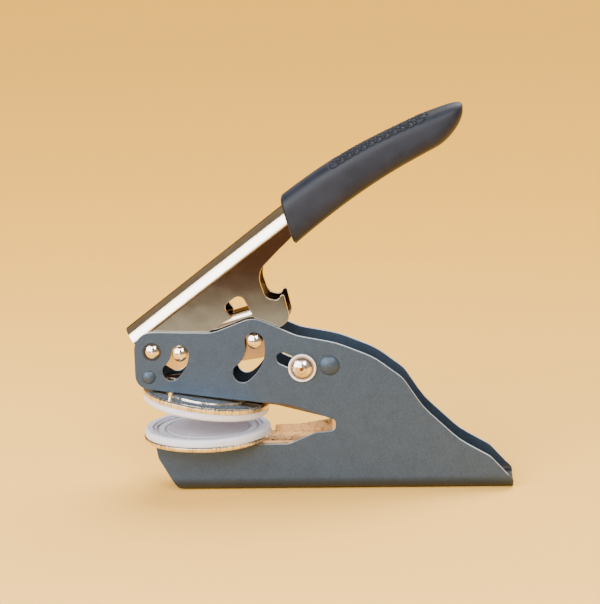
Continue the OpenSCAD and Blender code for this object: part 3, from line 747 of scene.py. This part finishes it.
class EMBOSSER_OT_camera(bpy.types.Operator):
    """Place the camera where the photograph was taken from"""

    bl_idname = "embosser.camera"
    bl_label = "Camera"

    def execute(self, context):
        data = bpy.data.cameras.new("photo_camera")
        data.lens = FOCAL_PX / max(PHOTO_W, PHOTO_H) * SENSOR_MM
        data.sensor_width = SENSOR_MM
        data.clip_start = 0.01
        data.clip_end = 50
        camera = bpy.data.objects.new("photo_camera", data)
        context.scene.collection.objects.link(camera)
        camera.rotation_mode = "QUATERNION"
        camera.location = CAMERA_AT
        aim = (CAMERA_TARGET - CAMERA_AT).to_track_quat("-Z", "Y")
        camera.rotation_quaternion = aim @ Quaternion((0, 0, 1), CAMERA_ROLL)
        context.scene.camera = camera
        return {"FINISHED"}


class EMBOSSER_OT_body(bpy.types.Operator):
    """Enamel the folded body and its two painted rivets, and finish the bushes"""

    bl_idname = "embosser.body"
    bl_label = "Body"

    def execute(self, context):
        dress(enamel_finish(), *BODY_NODES)
        dress(nylon_finish("dark_nylon", settings().plastic.bush, 0.5), "pivot_bushes")
        return {"FINISHED"}


class EMBOSSER_OT_lever(bpy.types.Operator):
    """Plate the lever, the link and their domed pins"""

    bl_idname = "embosser.lever"
    bl_label = "Lever and link"

    def execute(self, context):
        looks = settings().metal
        lever = sheet_nickel_finish(
            "lever_nickel", looks.lever, LEVER_HALF, LEVER_SHEET, LEVER_REST, looks.roughness
        )
        link = sheet_nickel_finish(
            "link_nickel", looks.link, LINK_HALF, LEVER_SHEET, 0, looks.roughness * 2
        )
        dress(lever, "lever_channel")
        dress(link, "cam_link")
        for name in PIN_NODES:
            dress(turned_nickel_finish(name + "_nickel", name, 0.1), name)
        return {"FINISHED"}


class EMBOSSER_OT_clip(bpy.types.Operator):
    """Plate the two clip arms and spin-finish the two die holders"""

    bl_idname = "embosser.clip"
    bl_label = "Die clip"

    def execute(self, context):
        looks = settings().metal
        for node, name, tone, roughness, waviness in (
            ("lower_clip_arm", "arm_nickel", looks.arm, 0.3, 0.01),
            # The upper arm's dark tone is painted shade.
            ("upper_clip_arm", "upper_arm_nickel", looks.shaded_upper_arm, 0.36, 0.02),
            ("locating_studs", "stud_nickel", looks.bright, 0.1, 0.0),
        ):
            dress(bright_nickel_finish(name, tone, roughness, waviness), node)
        centre = open_die_centre()
        dress(spun_nickel_finish("lower_spun_nickel", (0, 0, 0), 0, 0.13), "lower_die_holder")
        dress(spun_nickel_finish("upper_spun_nickel", centre, CLIP_OPEN, 0.13), "upper_die_holder")
        return {"FINISHED"}


class EMBOSSER_OT_dies(bpy.types.Operator):
    """Give the two plastic dies their milky look"""

    bl_idname = "embosser.dies"
    bl_label = "Dies"

    def execute(self, context):
        dress(milky_finish("lower_milky_plastic", (0, 0, 0), 0), "lower_die")
        dress(milky_finish("upper_milky_plastic", open_die_centre(), CLIP_OPEN), "upper_die")
        return {"FINISHED"}


class EMBOSSER_OT_lock(bpy.types.Operator):
    """Plate the lock's knobs and give them pale washers"""

    bl_idname = "embosser.lock"
    bl_label = "Lock"

    def execute(self, context):
        dress(turned_nickel_finish("lock_nickel", "lock_pin", 0.17, DIMPLE), "lock_pin")
        tone = settings().plastic.washer
        dress(nylon_finish("pale_nylon", tone, 0.4, under_knob=True), "lock_washers")
        return {"FINISHED"}


class EMBOSSER_OT_inner_works(bpy.types.Operator):
    """Finish the steel pieces between the plates"""

    bl_idname = "embosser.inner_works"
    bl_label = "Inner works"

    def execute(self, context):
        looks = settings().metal
        dress(steel_finish("turned_steel", looks.steel, 0.28, (0.3, 1, 0.3)), *TURNED_NODES)
        dress(steel_finish("pressed_steel", looks.pressed, 0.42, (3, 1, 1)), *STAMPED_NODES)
        dress(steel_finish("spring_wire", looks.wire, 0.32, (1, 1, 1)), "return_spring")
        return {"FINISHED"}


class EMBOSSER_OT_grip(bpy.types.Operator):
    """Model the rubber grip with its chain of pressed ovals"""

    bl_idname = "embosser.grip"
    bl_label = "Grip"

    def execute(self, context):
        mesh = grip_mesh(settings().grip)
        turn = Matrix.Rotation(-LEVER_REST, 4, "Y")
        in_lever = Matrix.Translation(PIVOT) @ turn @ Matrix.Scale(MM, 4)
        bmesh.ops.transform(mesh, matrix=in_lever, verts=mesh.verts)
        grip = new_piece("moulded_grip", mesh, rubber_finish())
        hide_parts("rubber_grip")
        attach(grip, "lever")
        return {"FINISHED"}


class EMBOSSER_OT_stage(bpy.types.Operator):
    """Set up the pale floor, the soft lamps and the surroundings"""

    bl_idname = "embosser.stage"
    bl_label = "Stage"

    def execute(self, context):
        make_floor()
        make_cards()
        looks = settings().studio
        soft_lamp("window", looks.window_power, **WINDOW)
        soft_lamp("side_fill", looks.fill_power, **SIDE_FILL)
        skylight("skylight", looks.skylight, **SKYLIGHT)
        surround(context.scene, looks)
        return {"FINISHED"}


# ---- Stage ----

FLOOR_RADIUS = 9.0
FLOOR_FADE = (-0.35, 0.75)  # Y over which the floor goes from near to far
WINDOW = {"place": (-0.66, -0.92, 0.56), "size": (1.5, 1.0), "tone": (0.97, 0.99, 1.0)}
SIDE_FILL = {"place": (0.42, -1.02, 0.80), "size": (0.42, 0.6), "tone": (1.0, 0.97, 0.94)}
SKYLIGHT = {"towards": (0.35, 0.60, 0.95), "tone": (1.0, 0.94, 0.86)}
SKYLIGHT_SPREAD = math.radians(60)

# Cards: centre, half sizes before the turn about X, and that turn in degrees.
FRONT_CARD = ((0.2, -0.92, 0.5 * MM), (0.7, 0.7), 0)
CAMERA_CARD = ((0.10, -1.15, 0.62), (0.24, 0.26), 90)
BACK_CARD = ((-0.35, 1.3, 0.2), (0.9, 0.4), 90)
CARD_FADE = (-0.27, -0.40)  # Y over which the front card darkens


def open_die_centre():
    """Point of the upper die's axis at the hinge's height, with the clip open."""
    arm = Vector((-CLIP_HINGE.x, 0, 0))
    return CLIP_HINGE + Matrix.Rotation(CLIP_OPEN, 3, "Y") @ arm


def make_floor():
    """Round floor that the embosser stands on."""
    looks = settings().studio
    stone = Finish("pale_floor", roughness=0.62)
    cloud = stone.noise(160, detail=3)
    back = stone.ramp(stone.axes()[1] + cloud * 0.2, *FLOOR_FADE)
    stone.feed("Base Color", stone.mix(looks.floor, looks.floor_far, back))
    stone.feed("Specular IOR Level", 0.0)
    mesh = bmesh.new()
    bmesh.ops.create_circle(mesh, cap_ends=True, segments=96, radius=FLOOR_RADIUS)
    new_piece("floor", mesh, stone.material)


def card_finish(name, tone, front=None):
    """Matt card of one tone, or of two if it darkens towards the front."""
    card = Finish(name, roughness=0.9)
    card.feed("Specular IOR Level", 0.0)
    if front:
        tone = card.mix(tone, front, card.ramp(card.axes()[1], *CARD_FADE))
    card.feed("Base Color", tone)
    return card.material


def make_cards():
    """Dark cards that only reflections see: the unlit parts of the room round the camera."""
    shaded = card_finish("shaded_card", (0.24, 0.25, 0.24), (0.045, 0.022, 0.012))
    dark = card_finish("dark_card", (0.0239, 0.0169, 0.0136))
    olive = card_finish("olive_card", (0.13, 0.08, 0.03))
    for name, (centre, half, turn), material in (
        ("front_card", FRONT_CARD, shaded),
        ("camera_card", CAMERA_CARD, dark),
        ("back_card", BACK_CARD, olive),
    ):
        upright = Matrix.Rotation(math.radians(turn), 4, "X")
        place = Matrix.Translation(centre) @ upright @ Matrix.Diagonal((*half, 1, 1))
        mesh = bmesh.new()
        bmesh.ops.create_grid(mesh, x_segments=1, y_segments=1, size=1, matrix=place)
        flag = new_piece(name, mesh, material)
        for seen in ("visible_camera", "visible_diffuse", "visible_transmission", "visible_shadow"):
            setattr(flag, seen, False)


def soft_lamp(name, power, place, size, tone):
    """Rectangular soft lamp that faces the middle of the embosser."""
    data = bpy.data.lights.new(name, "AREA")
    data.shape = "RECTANGLE"
    data.size, data.size_y = size
    data.energy = power
    data.color = tone
    lamp = bpy.data.objects.new(name, data)
    bpy.context.scene.collection.objects.link(lamp)
    lamp.location = place
    lamp.rotation_mode = "QUATERNION"
    lamp.rotation_quaternion = (CAMERA_TARGET - Vector(place)).to_track_quat("-Z", "Y")


def skylight(name, strength, towards, tone):
    """Broad even light that comes from the direction given by towards."""
    data = bpy.data.lights.new(name, "SUN")
    data.energy = strength
    data.angle = SKYLIGHT_SPREAD
    data.color = tone
    lamp = bpy.data.objects.new(name, data)
    bpy.context.scene.collection.objects.link(lamp)
    lamp.rotation_mode = "QUATERNION"
    lamp.rotation_quaternion = Vector(towards).to_track_quat("Z", "Y")


def surround(scene, looks):
    """Even soft light from all round."""
    world = bpy.data.worlds.new("surroundings")
    world.use_nodes = True
    sky = next(n for n in world.node_tree.nodes if n.type == "BACKGROUND")
    sky.inputs["Color"].default_value = (*looks.sky, 1)
    sky.inputs["Strength"].default_value = looks.sky_strength
    scene.world = world


# ---- Panel ----

STEPS = (
    EMBOSSER_OT_camera,
    EMBOSSER_OT_body,
    EMBOSSER_OT_lever,
    EMBOSSER_OT_clip,
    EMBOSSER_OT_dies,
    EMBOSSER_OT_lock,
    EMBOSSER_OT_inner_works,
    EMBOSSER_OT_grip,
    EMBOSSER_OT_stage,
)


class EMBOSSER_PT_looks(bpy.types.Panel):
    """Steps and settings of the embosser's looks"""

    bl_label = "Seal embosser"
    bl_space_type = "VIEW_3D"
    bl_region_type = "UI"
    bl_category = "Embosser"

    def draw(self, context):
        for step in STEPS:
            self.layout.operator(step.bl_idname)
        for name, group in SETTINGS.items():
            box = self.layout.box()
            box.label(text=name.title())
            for prop in group.__annotations__:
                box.prop(getattr(context.scene.embosser, name), prop)


CLASSES = (*SETTINGS.values(), EmbosserSettings, *STEPS, EMBOSSER_PT_looks)


def register():
    for cls in CLASSES:
        bpy.utils.register_class(cls)
    bpy.types.Scene.embosser = PointerProperty(type=EmbosserSettings)


def unregister():
    del bpy.types.Scene.embosser
    for cls in reversed(CLASSES):
        bpy.utils.unregister_class(cls)


def main():
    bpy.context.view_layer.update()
    register()
    for step in STEPS:
        group, name = step.bl_idname.split(".")
        getattr(getattr(bpy.ops, group), name)()


if __name__ == "__main__":
    main()
